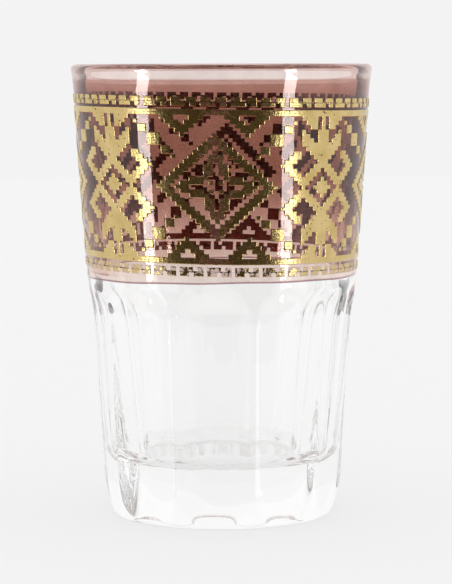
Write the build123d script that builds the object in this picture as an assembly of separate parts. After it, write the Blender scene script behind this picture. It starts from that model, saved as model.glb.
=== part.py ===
from build123d import *
import os
from math import cos, pi, radians, sin

# Tea glass: a pressed clear tumbler, round above and ten-sided below, with a colour coat
# round its upper half and a gold carpet pattern printed over the coat.
# Millimetres and degrees. +Z is up, the origin is the middle of the base, and -Y is the front.

# Glass, outside
glass_height = 89.6
rim_radius = 29.9
lip_thickness = 2.0
lip_flats = 5
flare_rise = 4.7
flare_reach = 0.57
wall_slope = 0.068
waist_height = 46.0
heel_height = 8.0
heel_inset = 2.17
heel_bulge = 0.3

# Glass, inside: a wall that thickens from the lip down, then a bend into a flat floor
waist_wall = 3.4
bend_height = 14.0
bend_wall = 6.2
floor_height = 11.0
floor_radius = 15.6

# Flat panels round the lower half, each with an arched top
panel_count = 10
panel_turn = -4.3
panel_depth = 1.65
panel_heel_depth = 1.23
panel_tuck = 0.75
arch_rise = 7.5
arch_radius = 18
arch_sweep = 60

# Colour coat on the outside of the upper half
coat_thickness = 0.08
coat_margin = 2.3
coat_lip_gap = 0.4

# Gold print over the coat, drawn on a grid of stitches
gold_thickness = 0.15
print_margin = 1.1
flare_margin = 0.6
print_turn = -2.0
repeats = 4
half_repeat_stitches = 23.5

# Figures of the print, in stitches across and rows up from the middle of the field
field_edge = 16.5
rule_rows = 1.5
frieze_gap = 0.6
frieze_rows = 2.2
lozenge_reach = 12.5
lozenge_band = 3
star_hole_reach = 4.5
star_heart_reach = 2.5
pendant_rows = 5
pendant_offset = 6.5
tee_bar = 3
tee_stem = 1
fringe_rows = 3.5
fringe_offset = 2

# Values that follow from the sizes above
lip_radius = lip_thickness / 2
lip_height = glass_height - lip_radius * cos(pi / lip_flats / 2)
flare_height = lip_height - flare_rise


def wall_radius(height):
    """Radius of the straight taper of the outer wall at a height."""
    return rim_radius - flare_reach - wall_slope * (flare_height - height)


heel_radius = wall_radius(heel_height)
foot_radius = heel_radius - heel_inset
spring_height = waist_height - arch_rise
spring_distance = wall_radius(spring_height) - panel_depth
heel_distance = heel_radius - panel_heel_depth
panel_slope = (spring_distance - heel_distance) / (spring_height - heel_height)
foot_distance = heel_distance - panel_slope * heel_height - panel_tuck
coat_low = waist_height + coat_margin
coat_high = lip_height - coat_lip_gap
print_low = coat_low + print_margin
print_high = flare_height - flare_margin
print_height = (print_low + print_high) / 2
print_rows = field_edge + rule_rows + frieze_gap + frieze_rows
stitch_height = (print_high - print_low) / (2 * print_rows)
stitch_angle = 180 / repeats / half_repeat_stitches
print_radius = wall_radius(print_height) + coat_thickness
front_turn = -90
far_out = 2 * rim_radius
from_below = (Align.CENTER, Align.CENTER, Align.MIN)


def upright_face(lines):
    """A face in the XZ plane, bounded by lines drawn as radius and height."""
    return Plane.XZ * make_face([edge for line in lines for edge in line.edges()])


def outer_wall(offset):
    """The outer wall above the waist, moved out by an offset: a straight taper and a flared edge."""
    flare_start = (wall_radius(flare_height) + offset, flare_height)
    taper = Line((wall_radius(waist_height) + offset, waist_height), flare_start)
    flare = Line(flare_start, (rim_radius + offset, lip_height))
    return taper, flare


def sleeve(inner_offset, outer_offset, low, high):
    """A thin layer that follows the outer wall between two heights."""
    layers = []
    for offset in (outer_offset, inner_offset):
        taper, flare = outer_wall(offset)
        outline = upright_face([
            taper,
            flare,
            Line(flare @ 1, (0, lip_height)),
            Line((0, lip_height), (0, waist_height)),
            Line((0, waist_height), taper @ 0),
        ])
        layers.append(revolve(outline, Axis.Z))
    slab = Pos(0, 0, low) * Cylinder(far_out, high - low, align=from_below)
    return (layers[0] - layers[1]) & slab


def panel_cutter():
    """What is taken off one side: a flat that tucks in at the heel and bends out into an arched top."""
    low_point = (foot_distance, -heel_height)
    foot_point = (foot_distance, 0)
    heel_point = (heel_distance, heel_height)
    flat = Line(heel_point, (spring_distance, spring_height))
    arch = JernArc(flat @ 1, flat % 1, arch_radius, -arch_sweep)
    outer_top = (far_out, (arch @ 1).Y)
    outer_low = (far_out, -heel_height)
    side = upright_face([
        Line(low_point, foot_point),
        Line(foot_point, heel_point),
        flat,
        arch,
        Line(arch @ 1, outer_top),
        Line(outer_top, outer_low),
        Line(outer_low, low_point),
    ])
    return extrude(side, amount=far_out, both=True)


def lip_corners():
    """The rounded lip, drawn from outside to inside as an odd number of narrow flats."""
    turns = [pi * k / lip_flats for k in range(lip_flats + 1)]
    middle = rim_radius - lip_radius
    return [(middle + lip_radius * cos(turn), lip_height + lip_radius * sin(turn)) for turn in turns]


def glass_body():
    """The pressed glass: a turned tumbler with a thick base, less its flat panels."""
    heel_middle = ((foot_radius + heel_radius) / 2 + heel_bulge, heel_height / 2)
    taper, flare = outer_wall(0)
    lip = lip_corners()
    outline = upright_face([
        Polyline((0, 0), (foot_radius, 0), heel_middle, (heel_radius, heel_height), taper @ 1),
        flare,
        Polyline(*lip),
        Polyline(
            lip[-1],
            (wall_radius(waist_height) - waist_wall, waist_height),
            (wall_radius(bend_height) - bend_wall, bend_height),
            (floor_radius, floor_height),
            (0, floor_height),
            (0, 0),
        ),
    ])
    cutter = panel_cutter()
    first_turn = front_turn + panel_turn
    cutters = [Rot(0, 0, first_turn + 360 / panel_count * k) * cutter for k in range(panel_count)]
    return revolve(outline, Axis.Z) - cutters


def figure(points):
    """A flat figure of the print from its corners, in stitches and rows."""
    corners = [
        (print_radius * sin(radians(column * stitch_angle)), row * stitch_height)
        for column, row in points
    ]
    return make_face(Polyline(*corners, close=True).edges())


def box(left, right, low, high):
    """A rectangle of the print."""
    return figure([(left, low), (right, low), (right, high), (left, high)])


def diamond(column, row, reach):
    """A diamond of the print round a middle point."""
    return figure([(column + reach, row), (column, row + reach), (column - reach, row), (column, row - reach)])


def both_sides(points):
    """A list of points followed by its mirror image in the middle column, for a closed outline."""
    return points + [(-column, row) for column, row in reversed(points)]


def star():
    """A star flower: a three-pronged tulip above and below, and four hooks round a diamond hole."""
    quarter = [
        (0.5, field_edge),
        (0.5, 13.5),
        (1.5, 13.5),
        (1.5, 10),
        (5.5, 14),
        (5.5, 10),
        (1.5, 6),
        (5, 2.5),
        (7.5, 5),
        (5.5, 7),
        (5.5, 8.5),
        (7, 8.5),
        (10.5, 5),
    ]
    waist = [(5.5, 0)]
    lower = [(column, -row) for column, row in reversed(quarter)]
    return figure(both_sides(quarter + waist + lower)) - diamond(0, 0, star_hole_reach)


def lozenge():
    """The large diamond, an open band."""
    return diamond(0, 0, lozenge_reach) - diamond(0, 0, lozenge_reach - lozenge_band)


def pendant(end):
    """A triangle that hangs from the upper rule, or stands on the lower one, with a T cut out of it."""
    edge = end * field_edge
    triangle = figure([(-pendant_rows, edge), (pendant_rows, edge), (0, edge - end * pendant_rows)])
    bar = box(-tee_bar / 2, tee_bar / 2, edge, edge - end)
    stem = box(-tee_stem / 2, tee_stem / 2, edge - end, edge - 2 * end)
    return triangle - bar - stem


def fringe(end, side):
    """A half triangle on a rule beside a star's stem."""
    edge = end * field_edge
    inner = side * fringe_offset
    outer = side * (fringe_offset + fringe_rows)
    return figure([(inner, edge), (outer, edge), (inner, edge - end * fringe_rows)])


coat_sleeve = sleeve(0, coat_thickness, coat_low, coat_high)
gold_sleeve = sleeve(coat_thickness, coat_thickness + gold_thickness, coat_low, flare_height)
quarter_turn = 360 / repeats
star_turns = [print_turn + quarter_turn * (k + 0.5) for k in range(repeats)]
lozenge_turns = [print_turn + quarter_turn * k for k in range(repeats)]
pendant_turn = pendant_offset * stitch_angle
pendant_turns = [turn + side * pendant_turn for turn in lozenge_turns for side in (1, -1)]


def printed(figures, turns):
    """The films left on the coat where copies of flat figures are pressed on from outside."""
    stamps = [extrude(Plane.XZ * flat, amount=far_out) for flat in figures]
    films = []
    for turn in turns:
        for stamp in stamps:
            films += (gold_sleeve & (Pos(0, 0, print_height) * Rot(0, 0, turn) * stamp)).solids()
    return films


def band(low, high):
    """A plain line of gold round the glass between two rows of the print."""
    low_height = print_height + min(low, high) * stitch_height
    slab = Pos(0, 0, low_height) * Cylinder(far_out, abs(high - low) * stitch_height, align=from_below)
    return gold_sleeve & slab


def border(end):
    """The rule above or below the field, with its pendants and its fringe."""
    rule = band(end * field_edge, end * (field_edge + rule_rows))
    teeth = printed([pendant(end)], pendant_turns)
    teeth += printed([fringe(end, 1), fringe(end, -1)], star_turns)
    return (rule + teeth).solids()


def frieze(end):
    """The outer line of the print, beyond the rule."""
    near = end * (field_edge + rule_rows + frieze_gap)
    return band(near, near + end * frieze_rows).solids()


def write(solids, name):
    """Save one sub-part under its own name."""
    export_step(Compound(children=solids), f"parts/{name}.step")


os.makedirs("parts", exist_ok=True)
write(glass_body().solids(), "glass_body")
write(coat_sleeve.solids(), "colour_band")
write(border(1), "gold_upper_border")
write(border(-1), "gold_lower_border")
write(frieze(1), "gold_upper_frieze")
write(frieze(-1), "gold_lower_frieze")
write(printed([star()], star_turns), "gold_stars")
write(printed([diamond(0, 0, star_heart_reach)], star_turns), "gold_star_hearts")
write(printed([lozenge()], lozenge_turns), "gold_lozenges")
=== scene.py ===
from math import atan, atan2, cos, pi, radians, sin, sqrt, tan

import bpy
import numpy as np
from mathutils import Euler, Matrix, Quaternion, Vector


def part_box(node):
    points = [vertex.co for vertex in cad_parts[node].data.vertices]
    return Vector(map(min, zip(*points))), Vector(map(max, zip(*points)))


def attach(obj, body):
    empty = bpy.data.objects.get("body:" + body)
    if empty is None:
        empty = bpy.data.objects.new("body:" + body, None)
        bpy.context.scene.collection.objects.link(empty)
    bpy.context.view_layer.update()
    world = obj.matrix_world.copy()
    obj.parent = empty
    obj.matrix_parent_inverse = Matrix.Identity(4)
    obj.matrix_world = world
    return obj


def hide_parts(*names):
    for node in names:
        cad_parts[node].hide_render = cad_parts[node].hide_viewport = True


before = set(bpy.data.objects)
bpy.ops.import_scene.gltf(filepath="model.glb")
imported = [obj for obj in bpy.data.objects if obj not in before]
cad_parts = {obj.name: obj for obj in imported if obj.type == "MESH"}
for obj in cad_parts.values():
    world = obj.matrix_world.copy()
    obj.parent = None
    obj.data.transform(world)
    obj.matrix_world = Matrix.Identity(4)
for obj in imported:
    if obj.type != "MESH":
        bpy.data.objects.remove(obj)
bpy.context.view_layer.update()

# Millimetres to metres: lengths on the glass are in the first, those of the studio in the second
MM = 0.001

# Sizes of the glass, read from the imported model
glass_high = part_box("glass_body")[1] / MM
coat_cad_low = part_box("colour_band")[0].z / MM
print_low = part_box("gold_lower_frieze")[0].z / MM
print_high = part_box("gold_upper_frieze")[1].z / MM

# Glass, outside
rim_radius = glass_high.x
lip_radius = 1.0
lip_inner_width = 1.8
lip_height = glass_high.z - lip_radius
flare_rise = 4.7
flare_reach = 0.57
flare_height = lip_height - flare_rise
wall_slope = 0.068
waist_height = 46.0
heel_height = 8.0
heel_inset = 2.17
heel_bulge = 0.3
foot_round_height = 0.5
foot_round_depth = 0.38

# Glass, inside: a wall that thickens downwards, then a bend into a flat floor
floor_height = 11.0
floor_radius = 15.6
bend_height = 14.0
bend_wall = 6.2
inner_bulge = 0.57
bead_height = 2.0

# Waves that the plunger leaves inside: size, count round the glass, twist per millimetre and phase
ripple_waves = ((0.022, 3, 0.03, 0), (0.014, 7, -0.051, 0), (0.008, 13, 0, 1))
ripple_fade = 15.0

# Flat panels with arched tops, and how softly they run into each other
panel_count = 10
panel_turn = -4.3
panel_depth = 1.65
panel_heel_depth = 1.23
panel_tuck = 0.75
arch_rise = 7.5
arch_radius = 18.0
ridge_softness = 0.18
arch_softness = 0.3

# Rings of points that the skin of the glass is drawn on
columns_per_panel = 36
base_shares = (0.35, 0.7, 0.93)
foot_shares = (0, 0.04, 0.14, 0.3, 0.55, 1)
lip_steps = 16
bead_shares = (0.5, 0.93)
wall_ring_count = 50
bend_ring_count = 24
floor_shares = (0.996, 0.75, 0.4)

# Layers on the outer wall: distances of their faces from the glass
coat_inner = 0.012
coat_outer = 0.06
gold_base = 0.07
gold_top = 0.19

# Colour coat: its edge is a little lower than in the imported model, and it turns over the lip
coat_drop = 0.5
coat_low = coat_cad_low - coat_drop
coat_lip_turn = 80
coat_ring_count = 60
coat_lip_steps = 8

# Waves of the coat's brushed lower edge: height, count round the glass and phase
edge_waves = ((0.22, 1, 0.6), (0.12, 3, 1.3), (0.05, 11, 0.0))

# Gold print on a grid of stitches. It sits a little askew: it leans, and its columns drift.
repeats = 4
last_column = 23
half_repeat_stitches = last_column + 0.5
stitch_angle = 180 / repeats / half_repeat_stitches
print_turn = -2.0
print_lean = 0.0178
print_drift = 0.0265
last_row = 16
rule_row = last_row + 1
field_edge = last_row + 0.5
rule_rows = 1.5
frieze_gap = 0.6
frieze_rows = 2.2
print_rows = field_edge + rule_rows + frieze_gap + frieze_rows
print_height = (print_low + print_high) / 2
stitch_height = (print_high - print_low) / (2 * print_rows)
edge_width = 0.2
edge_tilt = 0.5

# Figures of the print, in cells of one stitch
star_reach = 10
star_hole_reach = 4
heart_reach = 2
lozenge_reach = 12
lozenge_band = 3
gem_offset = 7
gem_reach = 1
chain_column = 7
chain_row = 15
chain_sizes = (1, 2, 3, 2, 1)
pendant_column = 17
pendant_rows = 5
fringe_column = 2
fringe_rows = 3

# Tiles of the friezes: edges of their columns in stitches, and the depth of their notches in rows
tiles_per_repeat = 8
tile_edges = (-2.55, -0.5, 0.4, 1.3, 2.55)
notch_rows = 1


def wall_radius(height):
    """Radius of the straight taper of the outer wall at a height."""
    return rim_radius - flare_reach - wall_slope * (flare_height - height)


# Values that follow from the sizes above
heel_radius = wall_radius(heel_height)
foot_radius = heel_radius - heel_inset
inner_rim = rim_radius - lip_radius - lip_inner_width
bend_radius = wall_radius(bend_height) - bend_wall
spring_height = waist_height - arch_rise
spring_distance = wall_radius(spring_height) - panel_depth
heel_distance = heel_radius - panel_heel_depth
panel_slope = (spring_distance - heel_distance) / (spring_height - heel_height)
flare_curve = (flare_reach - wall_slope * flare_rise) / flare_rise ** 2
column_count = panel_count * columns_per_panel
panel_angle = 2 * pi / panel_count
angles = radians(panel_turn) + panel_angle * (np.arange(column_count) / columns_per_panel + 0.5)
edge_columns = edge_width / (radians(stitch_angle) * wall_radius(print_height))
edge_rows = edge_width / stitch_height

# Stretches of rings up the outside of the glass: first height, last height and number of rings
outside_stretches = (
    (1, heel_height, 16),
    (heel_height + 1, spring_height - 1, 31),
    (spring_height - 0.6, waist_height + 1.5, 28),
    (waist_height + 2.4, flare_height, 30),
    (flare_height + 0.5, lip_height, 9),
)

# A cell of the print is drawn in three by three steps: edge, middle and edge. Then the way round it.
cell_steps = 3
cell_border = [(0, k) for k in range(cell_steps)] + [(k, cell_steps) for k in range(cell_steps)]
cell_border += [(cell_steps - a, cell_steps - b) for a, b in cell_border]


def round_radius(height):
    """Radius of the round body at a height, before the panels are pressed into it."""
    if height > flare_height:
        return wall_radius(height) + flare_curve * (height - flare_height) ** 2
    if height > heel_height:
        return wall_radius(height)
    share = height / heel_height
    return foot_radius + heel_inset * share + 4 * heel_bulge * share * (1 - share)


def panel_distance(height):
    """Distance of the panels from the axis: a slanted flat, then an arch that runs out of the wall."""
    distance = spring_distance + panel_slope * (height - spring_height)
    if height < heel_height:
        distance -= panel_tuck * (1 - height / heel_height) ** 2
    if height > spring_height:
        rise = min((height - spring_height) / arch_radius, 1)
        distance += arch_radius * (1 - sqrt(1 - rise ** 2))
    return distance


def outer_radii(height):
    """Outer radius at every column, with soft ridges where the panels and the round wall meet."""
    level = max(height, foot_round_height)
    turn = (angles - radians(panel_turn) + panel_angle / 2) % panel_angle - panel_angle / 2
    distance = panel_distance(level)
    surfaces = [np.full(column_count, round_radius(level))]
    for neighbour in (-1, 0, 1):
        surfaces.append(distance / np.cos(turn + neighbour * panel_angle))
    nearest = np.min(surfaces, axis=0)
    arch_share = min(max((height - spring_height) / arch_rise, 0), 1)
    softness = ridge_softness + (arch_softness - ridge_softness) * arch_share
    total = sum(np.exp((nearest - surface) / softness) for surface in surfaces)
    radii = nearest - softness * np.log(total)
    if height < foot_round_height:
        depth = 1 - height / foot_round_height
        radii = radii - foot_round_depth * (1 - sqrt(1 - depth ** 2))
    return radii


def inner_ripple(height):
    """Slight waves that the plunger leaves on the inside of pressed glass, calm under the lip."""
    calm = min((lip_height - bead_height - height) / ripple_fade, 1)
    waves = 0
    for size, count, twist, phase in ripple_waves:
        waves = waves + size * np.sin(count * angles + twist * height + phase)
    return calm * waves


def ring(radii, height):
    """Points of one ring round the axis, in metres."""
    heights = np.full(column_count, 1.0) * height
    return np.stack([radii * np.sin(angles), -radii * np.cos(angles), heights], axis=1) * MM


def ring_points(rings):
    """The points of all rings in one list."""
    return [tuple(point) for circle in rings for point in circle]


def skin(rings, loop=False):
    """Quads between rings of points that follow each other, back to the first ring if it is a loop."""
    steps = len(rings) if loop else len(rings) - 1
    faces = []
    for k in range(steps):
        low = k * column_count
        high = (k + 1) % len(rings) * column_count
        for i in range(column_count):
            j = (i + 1) % column_count
            faces.append((low + i, low + j, high + j, high + i))
    return faces


def new_object(name, points, faces):
    """A smooth mesh object from points and faces."""
    mesh = bpy.data.meshes.new(name)
    mesh.from_pydata(points, [], faces)
    mesh.polygons.foreach_set("use_smooth", [True] * len(mesh.polygons))
    mesh.update()
    piece = bpy.data.objects.new(name, mesh)
    bpy.context.scene.collection.objects.link(piece)
    return piece


def slant(start, end):
    """Lean from upright, and length, of the line down from a start to an end, both as radius and height."""
    across = start[0] - end[0]
    down = start[1] - end[1]
    return atan2(across, down), sqrt(across ** 2 + down ** 2)


def arc_points(start, end, lean, count):
    """Points of an arc that leaves a start point downwards at a lean and runs to an end point."""
    chord_lean, chord = slant(start, end)
    curve = chord / (2 * sin(chord_lean - lean))
    points = []
    for turn in np.linspace(lean, 2 * chord_lean - lean, count):
        radius = start[0] + curve * (cos(turn) - cos(lean))
        height = start[1] - curve * (sin(turn) - sin(lean))
        points.append((radius, height))
    return points


def outside_rings():
    """Rings of the base and up the panelled outside."""
    heights = [foot_round_height * share for share in foot_shares]
    for low, high, count in outside_stretches:
        heights += list(np.linspace(low, high, count))
    rings = [ring(outer_radii(0) * share, 0) for share in base_shares]
    return rings + [ring(outer_radii(height), height) for height in heights]


def lip_rings():
    """Rings over the rounded lip, which is wider towards the inside."""
    middle = rim_radius - lip_radius
    rings = []
    for turn in np.linspace(0, pi, lip_steps + 1)[1:]:
        reach = lip_radius if turn < pi / 2 else lip_inner_width
        rings.append(ring(middle + reach * cos(turn), lip_height + lip_radius * sin(turn)))
    return rings


def inside_rings():
    """Rings down the inside: the bead under the lip, the bowed wall, the bend and the floor."""
    inner_lip = (inner_rim, lip_height - bead_height)
    bend = (bend_radius, bend_height)
    floor_rim = (floor_radius, floor_height)
    wall_lean, wall_length = slant(inner_lip, bend)
    wall_bow = 2 * atan(2 * inner_bulge / wall_length)
    rings = [ring(inner_rim, lip_height - bead_height * share) for share in bead_shares]
    for radius, height in arc_points(inner_lip, bend, wall_lean - wall_bow, wall_ring_count):
        rings.append(ring(radius + inner_ripple(height), height))
    for radius, height in arc_points(bend, floor_rim, wall_lean + wall_bow, bend_ring_count)[1:]:
        fade = (height - floor_height) / (bend_height - floor_height)
        rings.append(ring(radius + fade * inner_ripple(bend_height), height))
    return rings + [ring(floor_radius * share, floor_height) for share in floor_shares]


def make_glass():
    """The pressed glass as one closed skin: base, panelled outside, lip, round inside and floor."""
    rings = outside_rings() + lip_rings() + inside_rings()
    points = ring_points(rings)
    faces = skin(rings)
    base = len(points)
    points += [(0, 0, 0), (0, 0, floor_height * MM)]
    last = (len(rings) - 1) * column_count
    for i in range(column_count):
        j = (i + 1) % column_count
        faces.append((base, j, i))
        faces.append((base + 1, last + i, last + j))
    return new_object("tumbler", points, faces)


def coat_edge():
    """Height of the coat's lower edge round the glass: brushed, so a little uneven."""
    return coat_low + sum(size * np.sin(count * angles + phase) for size, count, phase in edge_waves)


def make_coat():
    """The colour coat: a thin closed sleeve on the outer wall that turns over the lip."""
    edge = coat_edge()
    layers = []
    for lift in (coat_outer, coat_inner):
        layer = []
        for share in np.linspace(0, 1, coat_ring_count):
            heights = edge + (lip_height - edge) * share
            layer.append(ring(np.array([round_radius(height) for height in heights]) + lift, heights))
        reach = lip_radius + lift
        for turn in np.linspace(0, radians(coat_lip_turn), coat_lip_steps + 1)[1:]:
            layer.append(ring(rim_radius - lip_radius + reach * cos(turn), lip_height + reach * sin(turn)))
        layers.append(layer)
    rings = layers[0] + layers[1][::-1]
    return new_object("colour_coat", ring_points(rings), skin(rings, loop=True))


def print_point(turn, column, row, lift):
    """A point of the print in metres, from its place in stitches and rows and its lift off the wall."""
    angle = radians(turn + (column - print_drift * row) * stitch_angle)
    level = print_height + row * stitch_height
    height = level - print_lean * wall_radius(level) * sin(angle)
    radius = wall_radius(height) + lift
    return Vector((radius * sin(angle), -radius * cos(angle), height)) * MM


def print_axes(turn, column):
    """Directions at a place of the print: out of the wall, along the rows and up the columns."""
    angle = radians(turn + column * stitch_angle)
    along = Vector((cos(angle), sin(angle), 0))
    lean = atan(wall_slope)
    out = Vector((cos(lean) * sin(angle), -cos(lean) * cos(angle), -sin(lean)))
    return out, along, out.cross(along)


def edge_fall(i, j, side, end, present):
    """Whether the film is full at a place of a cell and, if not, how it falls off sideways and upwards."""
    beside = (i + side, j) in present
    beyond = (i, j + end) in present
    if beside and beyond and (i + side, j + end) in present:
        return True, 0, 0
    return False, side * (beyond or not beside), end * (beside or not beyond)


def make_film(name, turns, columns, rows, cells, present):
    """A raised film of gold over a set of cells, with rounded edges where no neighbour carries it on."""
    points = []
    found = {}
    faces = []
    normals = []

    def vertex(turn, column, row, full):
        """Number of the film's point at a place: on its top where it is full, or else on its base."""
        key = (turn, round(column, 4), round(row, 4), full)
        if key not in found:
            found[key] = len(points)
            points.append(tuple(print_point(turn, column, row, gold_top if full else gold_base)))
        return found[key]

    for turn in turns:
        for i, j in sorted(cells):
            left, right = columns[i]
            low, high = rows[j]
            across = (left, left + edge_columns, right - edge_columns, right)
            upward = (low, low + edge_rows, high - edge_rows, high)
            out, along, up = print_axes(turn, (left + right) / 2)
            top = {}
            under = {}
            leaning = {}
            for a, column in enumerate(across):
                for b, row in enumerate(upward):
                    side = (a == cell_steps) - (a == 0)
                    end = (b == cell_steps) - (b == 0)
                    full, sideways, upwards = edge_fall(i, j, side, end, present)
                    top[a, b] = vertex(turn, column, row, full)
                    under[a, b] = vertex(turn, column, row, False)
                    leaning[a, b] = (out + (along * sideways + up * upwards) * edge_tilt).normalized()
            for a in range(cell_steps):
                for b in range(cell_steps):
                    corners = [(a, b), (a + 1, b), (a + 1, b + 1), (a, b + 1)]
                    faces.append([top[corner] for corner in corners])
                    normals += [leaning[corner] for corner in corners]
            faces.append([under[corner] for corner in cell_border])
            normals += [-out] * len(cell_border)
    piece = new_object(name, points, faces)
    piece.data.normals_split_custom_set(normals)
    return piece


def stitch_edges(last):
    """Edges of whole stitches by the numbers of their cells, up to the last one on both sides of cell 0."""
    return {cell: (cell - 0.5, cell + 0.5) for cell in range(-last, last + 1)}


def mirrored(cells):
    """A set of cells with its mirror images left to right and top to bottom."""
    return {(a * i, b * j) for i, j in cells for a in (1, -1) for b in (1, -1)}


def inside(outline, column, row):
    """Whether a point lies inside a closed outline."""
    hit = False
    for (x0, y0), (x1, y1) in zip(outline, outline[1:] + outline[:1]):
        if (y0 > row) != (y1 > row) and column < (x1 - x0) * (row - y0) / (y1 - y0) + x0:
            hit = not hit
    return hit


def diamond_cells(column, row, reach):
    """A filled diamond of cells round a middle cell."""
    span = range(-reach, reach + 1)
    return {(column + i, row + j) for i in span for j in span if abs(i) + abs(j) <= reach}


def block_cells(left, right, low, high):
    """A rectangle of cells."""
    return {(i, j) for i in range(left, right + 1) for j in range(low, high + 1)}


def star_cells():
    """A star flower: a three-pronged tulip above and below, and four hooks round a diamond hole."""
    quarter = [
        (0, field_edge),
        (0.5, field_edge),
        (0.5, 13.5),
        (1.5, 13.5),
        (1.5, 10.5),
        (2, 10.5),
        (5, 13.5),
        (5.5, 13.5),
        (5.5, 10),
        (1.5, 6),
        (5, 2.5),
        (7.5, 5),
        (5.5, 7),
        (5.5, 8.5),
        (7, 8.5),
        (10.5, 5),
        (5.5, 0),
        (0, 0),
    ]
    nudge = 0.01
    block = block_cells(0, star_reach, 0, last_row)
    cells = {(i, j) for i, j in block if inside(quarter, i + nudge, j + nudge)}
    return mirrored(cells - diamond_cells(0, 0, star_hole_reach))


def lozenge_cells():
    """The large diamond, an open band, with a small diamond inside each corner."""
    band = diamond_cells(0, 0, lozenge_reach) - diamond_cells(0, 0, lozenge_reach - lozenge_band)
    gems = diamond_cells(gem_offset, 0, gem_reach) | diamond_cells(0, gem_offset, gem_reach)
    return band | mirrored(gems)


def rosette_cells():
    """The flower in the middle of a lozenge: eight petals in pairs, and single cells between and beyond."""
    return mirrored(block_cells(1, 2, 3, 5) | block_cells(3, 5, 1, 2) | {(1, 1), (2, 2), (1, 6), (6, 1)})


def chain_cells():
    """Squares that grow and shrink, corner to corner, from a star's head down to the lozenges."""
    cells = set()
    column = chain_column
    row = chain_row
    for size in chain_sizes:
        cells |= block_cells(column, column + size - 1, row - size + 1, row)
        column += size
        row -= size
    return mirrored(cells)


def border_cells():
    """The rules with their pendants, each with a T cut out of it, and their fringe, for one repeat."""
    cells = block_cells(0, last_column, rule_row, rule_row)
    for step in range(pendant_rows):
        row = last_row - step
        reach = pendant_rows - 1 - step
        cells |= block_cells(pendant_column - reach, pendant_column + reach, row, row)
    cells -= block_cells(pendant_column - 1, pendant_column + 1, last_row, last_row)
    cells -= {(pendant_column, last_row - 1)}
    for step in range(fringe_rows):
        row = last_row - step
        cells |= block_cells(fringe_column, fringe_column + fringe_rows - step, row, row)
    return mirrored(cells)


def make_frieze(name, end):
    """A line of tiles beyond a rule, each with a notch from either side."""
    tile_count = repeats * tiles_per_repeat
    turns = [print_turn + 360 / tile_count * k for k in range(tile_count)]
    columns = dict(enumerate(zip(tile_edges, tile_edges[1:])))
    near = field_edge + rule_rows + frieze_gap
    far = near + frieze_rows
    levels = sorted(end * level for level in (near, near + notch_rows, far - notch_rows, far))
    rows = dict(enumerate(zip(levels, levels[1:])))
    near_row, far_row = (0, 2) if end > 0 else (2, 0)
    cells = {(i, j) for i in columns for j in rows} - {(1, far_row), (2, near_row)}
    return make_film(name, turns, columns, rows, cells, cells)


def make_print():
    """All the gold: figures on the star grid, figures on the lozenge grid, and the friezes."""
    repeat_turn = 360 / repeats
    star_turns = [print_turn + repeat_turn * (k + 0.5) for k in range(repeats)]
    lozenge_turns = [print_turn + repeat_turn * k for k in range(repeats)]
    columns = stitch_edges(last_column)
    rows = stitch_edges(last_row)
    rows[rule_row] = (field_edge, field_edge + rule_rows)
    rows[-rule_row] = (-field_edge - rule_rows, -field_edge)
    stars = star_cells()
    hearts = diamond_cells(0, 0, heart_reach)
    chains = chain_cells()
    borders = border_cells()
    next_rules = mirrored({(last_column + 1, rule_row)})
    on_star_grid = stars | hearts | chains | borders | next_rules
    lozenges = lozenge_cells()
    rosettes = rosette_cells()
    on_lozenge_grid = lozenges | rosettes

    def film(name, turns, cells, present):
        """A film on the grid of whole stitches."""
        return make_film(name, turns, columns, rows, cells, present)

    upper = {(i, j) for i, j in borders if j > 0}
    pieces = {
        "gold_stars": film("print_stars", star_turns, stars, on_star_grid),
        "gold_star_hearts": film("print_star_hearts", star_turns, hearts, on_star_grid),
        "gold_upper_border": film("print_upper_border", star_turns, upper, on_star_grid),
        "gold_lower_border": film("print_lower_border", star_turns, borders - upper, on_star_grid),
        "gold_lozenges": film("print_lozenges", lozenge_turns, lozenges, on_lozenge_grid),
    }
    extra = [
        film("print_chains", star_turns, chains, on_star_grid),
        film("print_rosettes", lozenge_turns, rosettes, on_lozenge_grid),
    ]
    pieces["gold_upper_frieze"] = make_frieze("print_upper_frieze", 1)
    pieces["gold_lower_frieze"] = make_frieze("print_lower_frieze", -1)
    return pieces, extra


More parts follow.
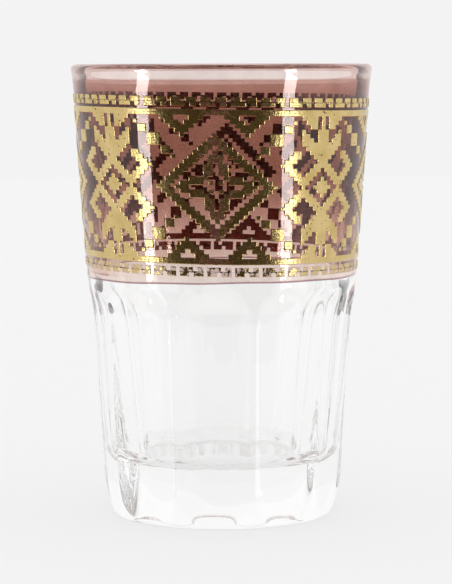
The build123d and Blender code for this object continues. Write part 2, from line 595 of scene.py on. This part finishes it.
class Nodes:
    """Builds a node tree with short calls."""

    def __init__(self, tree):
        self.tree = tree
        tree.nodes.clear()

    def add(self, kind, inputs=None, **settings):
        """A new node with its settings, and with inputs that are constants or outputs of other nodes."""
        node = self.tree.nodes.new(kind)
        for name, value in settings.items():
            setattr(node, name, value)
        for name, value in (inputs or {}).items():
            self.feed(node, name, value)
        return node

    def feed(self, node, name, value):
        """Sets an input of a node to a constant, or links it to an output."""
        socket = node.inputs[name]
        if isinstance(value, bpy.types.NodeSocket):
            self.tree.links.new(value, socket)
        else:
            socket.default_value = value

    def place(self):
        """Place in the object's own frame, in metres."""
        return self.add("ShaderNodeTexCoord").outputs["Object"]

    def axes(self, vector):
        """The three parts of a vector, by the names X, Y and Z."""
        return self.add("ShaderNodeSeparateXYZ", {"Vector": vector}).outputs

    def math(self, operation, first, second=0.0, clamp=False):
        """The result of one step of arithmetic."""
        node = self.add("ShaderNodeMath", {0: first, 1: second}, operation=operation, use_clamp=clamp)
        return node.outputs[0]

    def turn(self, axes):
        """Angle round the upright axis, from the front."""
        return self.math("ARCTAN2", axes["X"], self.math("MULTIPLY", axes["Y"], -1.0))

    def share(self, value, low, high):
        """How far a value has come from a low to a high one, as 0 to 1."""
        node = self.add("ShaderNodeMapRange", {"Value": value, "From Min": low, "From Max": high})
        return node.outputs["Result"]

    def ramp(self, factor, stops):
        """A colour that changes from stop to stop."""
        node = self.add("ShaderNodeValToRGB", {"Fac": factor})
        elements = node.color_ramp.elements
        while len(elements) < len(stops):
            elements.new(0.5)
        for element, (place, colour) in zip(elements, stops):
            element.position = place
            element.color = (*colour, 1)
        return node.outputs["Color"]

    def mix(self, factor, first, second, blend="MIX"):
        """A colour between two, or their product. The colour sockets are inputs 6 and 7 and output 2."""
        node = self.add("ShaderNodeMix", {0: factor}, data_type="RGBA", blend_type=blend)
        self.feed(node, 6, first)
        self.feed(node, 7, second)
        return node.outputs[2]

    def noise(self, vector, scale, detail=2.0, roughness=0.5):
        """Clouds of a scale."""
        inputs = {"Vector": vector, "Scale": scale, "Detail": detail, "Roughness": roughness}
        return self.add("ShaderNodeTexNoise", inputs).outputs["Fac"]

    def mix_shaders(self, factor, first, second):
        """A shader between two."""
        return self.add("ShaderNodeMixShader", {0: factor, 1: first.outputs[0], 2: second.outputs[0]})

    def surface(self, shader):
        """Ends a material's tree with its shader."""
        self.add("ShaderNodeOutputMaterial", {"Surface": shader.outputs[0]})


def new_material(name):
    """A material with an empty node tree."""
    material = bpy.data.materials.new(name)
    material.use_nodes = True
    return material, Nodes(material.node_tree)


def grey(white):
    """A grey colour with its alpha."""
    return white, white, white, 1


# Clear glass, and the slight unevenness of its pressed face
glass_colour = (0.998, 1.0, 0.999)
glass_index = 1.5
glass_wave_scale = 160
glass_wave_stretch = (1, 1, 0.25)
glass_wave_strength = 0.012
glass_wave_depth = 1.0


def glass_material():
    """Clear pressed glass, very slightly uneven."""
    material, nodes = new_material("clear_pressed_glass")
    stretch = nodes.add("ShaderNodeMapping", {"Vector": nodes.place(), "Scale": glass_wave_stretch})
    waves = nodes.noise(stretch.outputs["Vector"], glass_wave_scale, detail=1.0)
    bump = nodes.add("ShaderNodeBump", {
        "Height": waves,
        "Strength": glass_wave_strength,
        "Distance": glass_wave_depth * MM,
    })
    shader = nodes.add("ShaderNodeBsdfPrincipled", {
        "Base Color": (*glass_colour, 1),
        "Roughness": 0.0,
        "IOR": glass_index,
        "Transmission Weight": 1.0,
        "Normal": bump.outputs["Normal"],
    })
    nodes.surface(shader)
    return material


# What one layer of the coat lets through, by height: dark at its edge, then deeper upwards, pale at the lip
coat_tints = [
    (coat_low + 0.12, (0.42, 0.22, 0.25)),
    (coat_low + 0.42, (0.95, 0.83, 0.76)),
    (54.0, (0.87, 0.69, 0.63)),
    (60.0, (0.75, 0.54, 0.48)),
    (67.0, (0.59, 0.375, 0.315)),
    (81.0, (0.59, 0.375, 0.315)),
    (84.0, (0.69, 0.47, 0.415)),
    (86.5, (0.72, 0.50, 0.45)),
    (86.9, (0.93, 0.81, 0.77)),
    (88.6, (0.92, 0.79, 0.76)),
    (89.6, (0.90, 0.75, 0.73)),
]
tint_low = coat_tints[0][0]
tint_range = coat_tints[-1][0] - tint_low
coat_index = 1.5
coat_roughness = 0.04

# Clouds of the coat: wide ones that shift its tints up and down above its edge, and fine ones that dim it
shift_scale = 60
shift_height = 0.5
shift_onset = 8.0
coat_cloud_scale = 220
coat_stops = [(0.25, (0.94, 0.93, 0.93)), (0.75, (1, 1, 1))]


def coat_level(nodes, place):
    """Where a place is on the ramp of the coat's tints: its height over the edge, shifted by clouds."""
    axes = nodes.axes(place)
    level = nodes.math("DIVIDE", nodes.math("SUBTRACT", axes["Z"], tint_low * MM), tint_range * MM)
    turn = nodes.turn(axes)
    edge = 0.0
    for size, count, phase in edge_waves:
        wave = nodes.math("SINE", nodes.math("ADD", nodes.math("MULTIPLY", turn, count), phase))
        edge = nodes.math("ADD", nodes.math("MULTIPLY", wave, size / tint_range), edge)
    near_edge = nodes.math("SUBTRACT", 1.0, level, clamp=True)
    cloud = nodes.math("SUBTRACT", nodes.noise(place, shift_scale), 0.5)
    shift = nodes.math("MULTIPLY", cloud, shift_height / tint_range)
    onset = nodes.math("MULTIPLY", level, shift_onset, clamp=True)
    shifted = nodes.math("ADD", level, nodes.math("MULTIPLY", shift, onset))
    return nodes.math("SUBTRACT", shifted, nodes.math("MULTIPLY", edge, near_edge))


def slanted_path(nodes):
    """How many times longer the way through the coat is for light that crosses it at a slant."""
    facing = nodes.add("ShaderNodeLayerWeight", {"Blend": 0.5}).outputs["Facing"]
    upright = nodes.math("SUBTRACT", 1.0, facing)
    slanted = nodes.math("SUBTRACT", 1.0, nodes.math("MULTIPLY", upright, upright))
    bent = nodes.math("SUBTRACT", 1.0, nodes.math("DIVIDE", slanted, coat_index ** 2))
    return nodes.math("POWER", bent, -0.5)


def coat_material():
    """A transparent purple film, glossy outside, and deeper in colour where light crosses it at a slant."""
    material, nodes = new_material("purple_film")
    place = nodes.place()
    # Light crosses both faces of the sleeve, so each face has the square root of the layer's tint
    stops = []
    for height, tint in coat_tints:
        stops.append(((height - tint_low) / tint_range, [sqrt(channel) for channel in tint]))
    tint = nodes.ramp(coat_level(nodes, place), stops)
    cloud = nodes.ramp(nodes.noise(place, coat_cloud_scale, detail=4.0), coat_stops)
    clouded = nodes.mix(1.0, tint, cloud, blend="MULTIPLY")
    deep = nodes.add("ShaderNodeGamma", {"Color": clouded, "Gamma": slanted_path(nodes)}).outputs[0]
    film = nodes.add("ShaderNodeBsdfTransparent", {"Color": deep})
    gloss = nodes.add("ShaderNodeBsdfGlossy", {"Color": grey(1), "Roughness": coat_roughness})
    fresnel = nodes.add("ShaderNodeFresnel", {"IOR": coat_index}).outputs[0]
    back = nodes.add("ShaderNodeNewGeometry").outputs["Backfacing"]
    outward = nodes.math("MULTIPLY", fresnel, nodes.math("SUBTRACT", 1.0, back))
    nodes.surface(nodes.mix_shaders(outward, film, gloss))
    return material


# Colours of the gold: its clouds, what shows where its field and lowest line are worn, and a painted shade
# for its under face, seen from inside the glass: dark red, and partly matt instead of metal
gold_cloud_scale = 260
gold_stops = [(0.3, (0.62, 0.455, 0.176)), (0.7, (0.765, 0.58, 0.27))]
bare_field = (0.10, 0.03, 0.02)
bare_lowest = (0.62, 0.46, 0.40)
underside_painted_shade = (0.40, 0.04, 0.02)
underside_shade_matt = 0.6

# Wear of the gold: specks all over, more of them where it was rubbed at the front and in its lowest line
speck_scale = 1500
speck_roughness = 0.65
speck_level = 0.64
speck_edge = 0.03
rubbed_turn = radians(-2)
rubbed_half_width = radians(9)
rubbed_gain = 0.2
faded_height = 51.6
faded_share = 0.7

# Relief of the gold: fine grain and woven lines
grain_scale = 2600
weave_pitch = 0.5
weave_share = 0.12
relief_strength = 0.3
relief_depth = 0.1
gold_smooth = 0.16
gold_rough = 0.34


def gold_material():
    """Printed gold: satin metal with fine woven lines, worn through in specks. Its under face, seen from
    inside the glass, has painted shade: dark red and partly matt.
    """
    material, nodes = new_material("printed_gold")
    coordinates = nodes.add("ShaderNodeTexCoord").outputs
    place = coordinates["Object"]
    normal = coordinates["Normal"]
    axes = nodes.axes(place)
    gold = nodes.ramp(nodes.noise(place, gold_cloud_scale, detail=3.0), gold_stops)
    away = nodes.math("ABSOLUTE", nodes.math("SUBTRACT", nodes.turn(axes), rubbed_turn))
    rubbed = nodes.math("SUBTRACT", 1.0, nodes.math("DIVIDE", away, rubbed_half_width), clamp=True)
    faded = nodes.math("LESS_THAN", axes["Z"], faded_height * MM)
    wear = nodes.math("MAXIMUM", rubbed, nodes.math("MULTIPLY", faded, faded_share))
    level = nodes.math("SUBTRACT", speck_level, nodes.math("MULTIPLY", wear, rubbed_gain))
    specks = nodes.noise(place, speck_scale, detail=3.0, roughness=speck_roughness)
    worn = nodes.math("DIVIDE", nodes.math("SUBTRACT", specks, level), speck_edge, clamp=True)
    bare = nodes.mix(faded, (*bare_field, 1), (*bare_lowest, 1))
    # Painted shade: faces that look towards the axis, the film's under face, take a dark red colour and
    # lose most of their metal
    facing = nodes.add("ShaderNodeVectorMath", {0: normal, 1: place}, operation="DOT_PRODUCT")
    under = nodes.math("LESS_THAN", facing.outputs["Value"], 0.0)
    colour = nodes.mix(under, nodes.mix(worn, gold, bare), (*underside_painted_shade, 1))
    metal = nodes.math("SUBTRACT", 1.0, nodes.math("MULTIPLY", under, underside_shade_matt))
    grain = nodes.noise(place, grain_scale)
    lines = nodes.math("SINE", nodes.math("MULTIPLY", axes["Z"], 2 * pi / (weave_pitch * MM)))
    relief = nodes.math("ADD", grain, nodes.math("MULTIPLY", lines, weave_share))
    roughness = nodes.add("ShaderNodeMapRange", {
        "Value": grain,
        "To Min": gold_smooth,
        "To Max": gold_rough,
    })
    bump = nodes.add("ShaderNodeBump", {
        "Height": relief,
        "Strength": relief_strength,
        "Distance": relief_depth * MM,
    })
    shader = nodes.add("ShaderNodeBsdfPrincipled", {
        "Base Color": colour,
        "Metallic": nodes.math("MULTIPLY", nodes.math("SUBTRACT", 1.0, worn), metal),
        "Roughness": roughness.outputs["Result"],
        "Normal": bump.outputs["Normal"],
    })
    nodes.surface(shader)
    return material


# Studio: a pale sweep and a pale floor, both a little lighter through the glass than beside it
backdrop_white = 0.897
through_white = 0.985
ambient_white = 0.95
floor_white = 0.915
through_floor_white = 0.96
floor_glow = 0.75
floor_cloud_scale = 9
floor_stops = [(0.3, (0.94, 0.94, 0.94)), (0.7, (0.95, 0.95, 0.95))]
floor_half = 1.5
floor_drop = 0.00015

# Dim front of the studio and its floor: only mirrored rays see it, and each further mirroring fades it
front_dark = (0.053, 0.0375, 0.0225)
front_through = (0.35, 0.32, 0.30)
front_turn = radians(-3)
dark_half_angle = radians(50)
white_half_angle = radians(68)
floor_slope_low = 0.5
floor_slope_high = 0.75
front_floor = (0.10, 0.08, 0.065)
front_edge = -0.115
mirror_fade = 0.3

# Strip lights: their places, then the low end, high end and radiance of their bright and dim parts
strip_turns = (-61, 54)
strip_distance = 0.7
strip_width_angle = 9.5
strip_pivot = -0.07
strip_lean = 20
strip_parts = ((-0.027, 0.09, 12.0), (-0.19, -0.027, 1.8))

# Grey cards that hang behind the glass to both sides, out of the picture, darker upwards and away from it
card_back = 0.07
card_near = 0.0555
card_far = 0.1
card_low = 0.032
card_high = 0.115
card_fade_low = 0.028
card_fade_high = 0.048
card_pale = (0.75, 0.75, 0.76)
card_stops = [(0.0, card_pale), (0.3, (0.35, 0.35, 0.37)), (0.6, (0.12, 0.12, 0.14))]
fibre_scale = 900
fibre_reach = 0.01


def mirrored_once(nodes, rays):
    """How far a ray counts as mirrored: wholly after one mirroring, less after more."""
    once = nodes.math("MINIMUM", rays["Glossy Depth"], 1.0)
    more = nodes.math("SUBTRACT", rays["Glossy Depth"], 1.0, clamp=True)
    return nodes.math("SUBTRACT", once, nodes.math("MULTIPLY", more, mirror_fade))


def floor_material():
    """A plain pale floor, lit from below as on a light table, and dim in front to mirrored rays."""
    material, nodes = new_material("pale_floor")
    place = nodes.place()
    rays = nodes.add("ShaderNodeLightPath").outputs
    cloud = nodes.ramp(nodes.noise(place, floor_cloud_scale), floor_stops)
    paint = nodes.add("ShaderNodeBsdfDiffuse", {"Color": cloud})
    white = nodes.mix(rays["Is Transmission Ray"], grey(floor_white), grey(through_floor_white))
    glow = nodes.add("ShaderNodeEmission", {"Color": white})
    pale = nodes.mix_shaders(floor_glow, paint, glow)
    in_front = nodes.math("LESS_THAN", nodes.axes(place)["Y"], front_edge)
    dimmed = nodes.math("MULTIPLY", in_front, mirrored_once(nodes, rays))
    dim = nodes.add("ShaderNodeEmission", {"Color": (*front_floor, 1)})
    nodes.surface(nodes.mix_shaders(dimmed, pale, dim))
    return material


def make_floor():
    """A pale floor a hair below the glass."""
    level = -floor_drop
    corners = [
        (-floor_half, -floor_half, level),
        (floor_half, -floor_half, level),
        (floor_half, floor_half, level),
        (-floor_half, floor_half, level),
    ]
    floor = new_object("floor", corners, [(0, 1, 2, 3)])
    floor.data.materials.append(floor_material())
    floor.visible_glossy = False


def make_world():
    """A studio seen by direction, and even light for what is matt."""
    world = bpy.data.worlds.new("studio")
    bpy.context.scene.world = world
    world.use_nodes = True
    nodes = Nodes(world.node_tree)
    rays = nodes.add("ShaderNodeLightPath").outputs
    axes = nodes.axes(nodes.add("ShaderNodeTexCoord").outputs["Generated"])
    away = nodes.math("ABSOLUTE", nodes.math("SUBTRACT", nodes.turn(axes), front_turn))
    beside = nodes.share(away, dark_half_angle, white_half_angle)
    below = nodes.share(nodes.math("MULTIPLY", axes["Z"], -1.0), floor_slope_low, floor_slope_high)
    pale = nodes.mix(rays["Is Transmission Ray"], grey(backdrop_white), grey(through_white))
    dim = nodes.mix(rays["Is Transmission Ray"], (*front_dark, 1), (*front_through, 1))
    front = nodes.mix(mirrored_once(nodes, rays), pale, dim)
    studio = nodes.mix(nodes.math("MAXIMUM", beside, below), front, pale)
    seen = nodes.mix(rays["Is Diffuse Ray"], studio, grey(ambient_white))
    background = nodes.add("ShaderNodeBackground", {"Color": seen, "Strength": 1.0})
    nodes.add("ShaderNodeOutputWorld", {"Surface": background.outputs[0]})


def make_strips():
    """Two narrow lights to both sides of the viewer, bright above and dim below, that lean the same way."""
    for turn in strip_turns:
        angle = radians(turn)
        pivot = Vector((strip_distance * sin(angle), -strip_distance * cos(angle), strip_pivot))
        facing = Vector((-pivot.x, -pivot.y, 0)).to_track_quat("-Z", "Y")
        leaning = facing @ Quaternion((0, 0, 1), radians(strip_lean))
        for low, high, radiance in strip_parts:
            data = bpy.data.lights.new("strip", "AREA")
            data.shape = "RECTANGLE"
            data.size = 2 * strip_distance * tan(radians(strip_width_angle / 2))
            data.size_y = high - low
            data.energy = radiance * pi * data.size * data.size_y
            light = bpy.data.objects.new("strip", data)
            light.location = pivot + leaning @ Vector((0, (low + high) / 2, 0))
            light.rotation_euler = leaning.to_euler()
            light.visible_camera = False
            light.visible_diffuse = False
            bpy.context.scene.collection.objects.link(light)


def card_material():
    """Grey felt that only mirrored rays see."""
    material, nodes = new_material("grey_card")
    place = nodes.place()
    axes = nodes.axes(place)
    fibres = nodes.math("MULTIPLY", nodes.noise(place, fibre_scale, detail=3.0), fibre_reach)
    aside = nodes.math("ADD", nodes.math("ABSOLUTE", axes["X"]), fibres)
    felt = nodes.ramp(nodes.share(aside, card_near, card_far), card_stops)
    rise = nodes.share(axes["Z"], card_fade_low, card_fade_high)
    matt = nodes.add("ShaderNodeBsdfDiffuse", {"Color": nodes.mix(rise, (*card_pale, 1), felt)})
    clear = nodes.add("ShaderNodeBsdfTransparent")
    seen = nodes.math("MINIMUM", nodes.add("ShaderNodeLightPath").outputs["Glossy Depth"], 1.0)
    nodes.surface(nodes.mix_shaders(seen, clear, matt))
    return material


def make_cards():
    """Two grey cards that draw the edges of the glass where it mirrors them."""
    material = card_material()
    for name, side in (("card_left", -1), ("card_right", 1)):
        near = side * card_near
        far = side * card_far
        corners = [
            (near, card_back, card_low),
            (far, card_back, card_low),
            (far, card_back, card_high),
            (near, card_back, card_high),
        ]
        card = new_object(name, corners, [(0, 1, 2, 3)])
        card.data.materials.append(material)
        card.visible_camera = False
        card.visible_glossy = False
        card.visible_diffuse = False
        card.visible_shadow = False


# Camera, fitted to the photograph, whose frame is 452 by 584 pixels
image_height = 584
focal_pixels = 2377
axis_offset_pixels = 4.15
camera_place = Vector((0, -475, 88.45)) * MM
camera_pitch = 5.34
camera_roll = -0.15
sensor_height = 36
nearest_seen = 0.01


def make_camera():
    """The photograph's view, with the picture shifted so that the glass stands off its middle."""
    data = bpy.data.cameras.new("camera")
    data.sensor_fit = "VERTICAL"
    data.sensor_height = sensor_height
    data.lens = sensor_height * focal_pixels / image_height
    data.shift_x = axis_offset_pixels / image_height
    data.clip_start = nearest_seen
    camera = bpy.data.objects.new("camera", data)
    camera.location = camera_place
    roll = Quaternion((0, 0, 1), radians(camera_roll))
    camera.rotation_euler = (Euler((radians(90 - camera_pitch), 0, 0)).to_quaternion() @ roll).to_euler()
    bpy.context.scene.collection.objects.link(camera)
    bpy.context.scene.camera = camera


def dress(piece, material, slot, *nodes):
    """Gives a piece its material and its place in the model."""
    piece.data.materials.append(material)
    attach(piece, "root")
    if nodes:
        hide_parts(*nodes)


dress(make_glass(), glass_material(), "clear_glass", "glass_body")
dress(make_coat(), coat_material(), "purple_coat", "colour_band")
gold = gold_material()
figures, extra_figures = make_print()
for node, piece in figures.items():
    dress(piece, gold, "gold_print", node)
for piece in extra_figures:
    dress(piece, gold, "gold_print")
make_world()
make_strips()
make_cards()
make_floor()
make_camera()

scene = bpy.context.scene
scene.view_settings.view_transform = "Standard"

# Light that the thick base mirrors to and fro takes many turns before it leaves, so the limits are high
scene.cycles.max_bounces = 64
scene.cycles.transmission_bounces = 48
scene.cycles.glossy_bounces = 48
scene.cycles.transparent_max_bounces = 32
